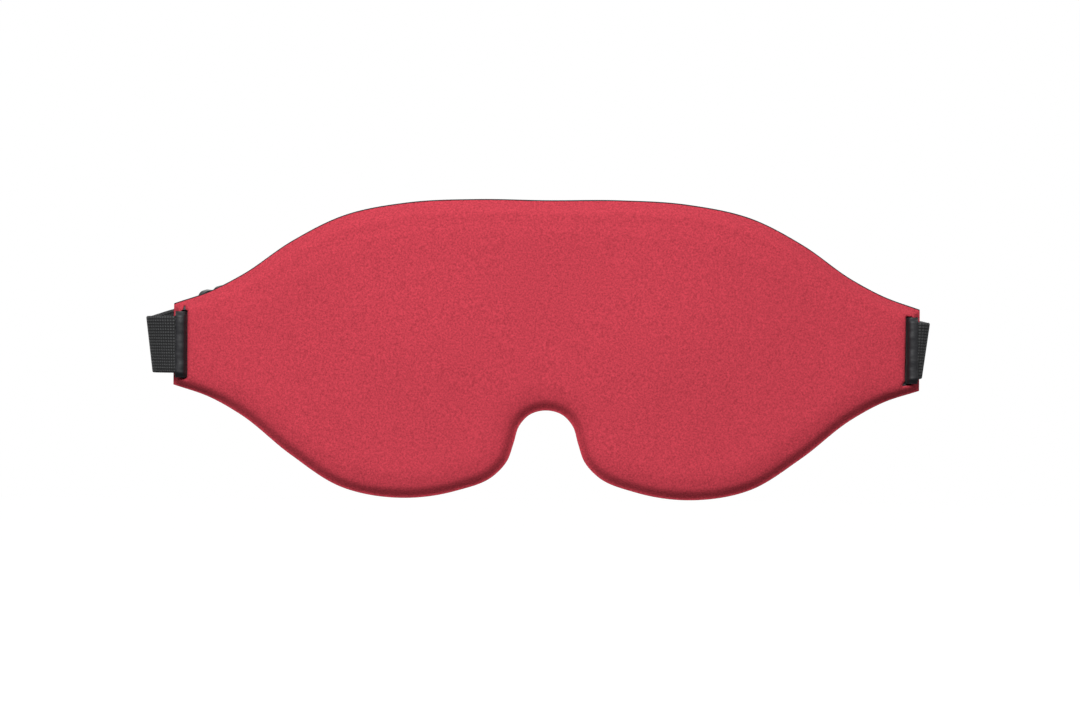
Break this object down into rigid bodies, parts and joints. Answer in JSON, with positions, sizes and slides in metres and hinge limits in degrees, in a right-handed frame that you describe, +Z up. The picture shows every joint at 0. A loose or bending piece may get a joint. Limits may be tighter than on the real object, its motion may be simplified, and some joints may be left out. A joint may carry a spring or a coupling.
{
  "type": "sleep eye mask",
  "caption": "Contoured foam sleep mask with eye cups and a nose notch, on an elastic strap that loops through a slot in each ear and adjusts with a slider.",
  "frame": {"origin": "on the mask's middle plane, level with the ear slots, where the back of the plain panel meets the face", "axes": "+X across the face to the ear shown on the right, +Y from the mask towards the wearer's head, +Z up as worn"},
  "size_m": [0.2476, 0.0724, 0.0937],
  "materials": {
    "cover": "brushed knit, matt",
    "foam": "moulded foam",
    "lining": "brushed knit, matt",
    "keeper_tape": "smooth woven tape",
    "webbing": "ribbed elastic webbing",
    "thread": "twisted thread",
    "slider_plastic": "glossy moulded plastic"
  },
  "bodies": {
    "root": {"front_cover": "cover", "foam_core": "foam", "back_lining": "lining", "strap_keeper_left": "keeper_tape", "strap_keeper_right": "keeper_tape", "strap_loop_left": "webbing", "strap_loop_right": "webbing"},
    "strap": {"strap_run": "webbing", "strap_sewn_end": "webbing", "strap_return_leg": "webbing", "strap_tail": "webbing", "sewn_end_stitches": "thread"},
    "slider": {"slider": "slider_plastic", "slider_tail_wrap": "webbing", "tail_stitches": "thread"}
  },
  "joints": [
    {"name": "strap_tilt", "type": "hinge", "parent": "root", "child": "strap", "pos_m": [0, 0.02, 0], "axis": [1, 0, 0], "range_deg": [-54, 16], "deforming": ["strap_return_leg", "strap_tail"]},
    {"name": "slider_travel", "type": "hinge", "parent": "strap", "child": "slider", "pos_m": [-0.00249, -0.08402, -0.04631], "axis": [0, 0.4067, -0.9135], "range_deg": [0, 60], "deforming": ["strap_tail"]}
  ]
}
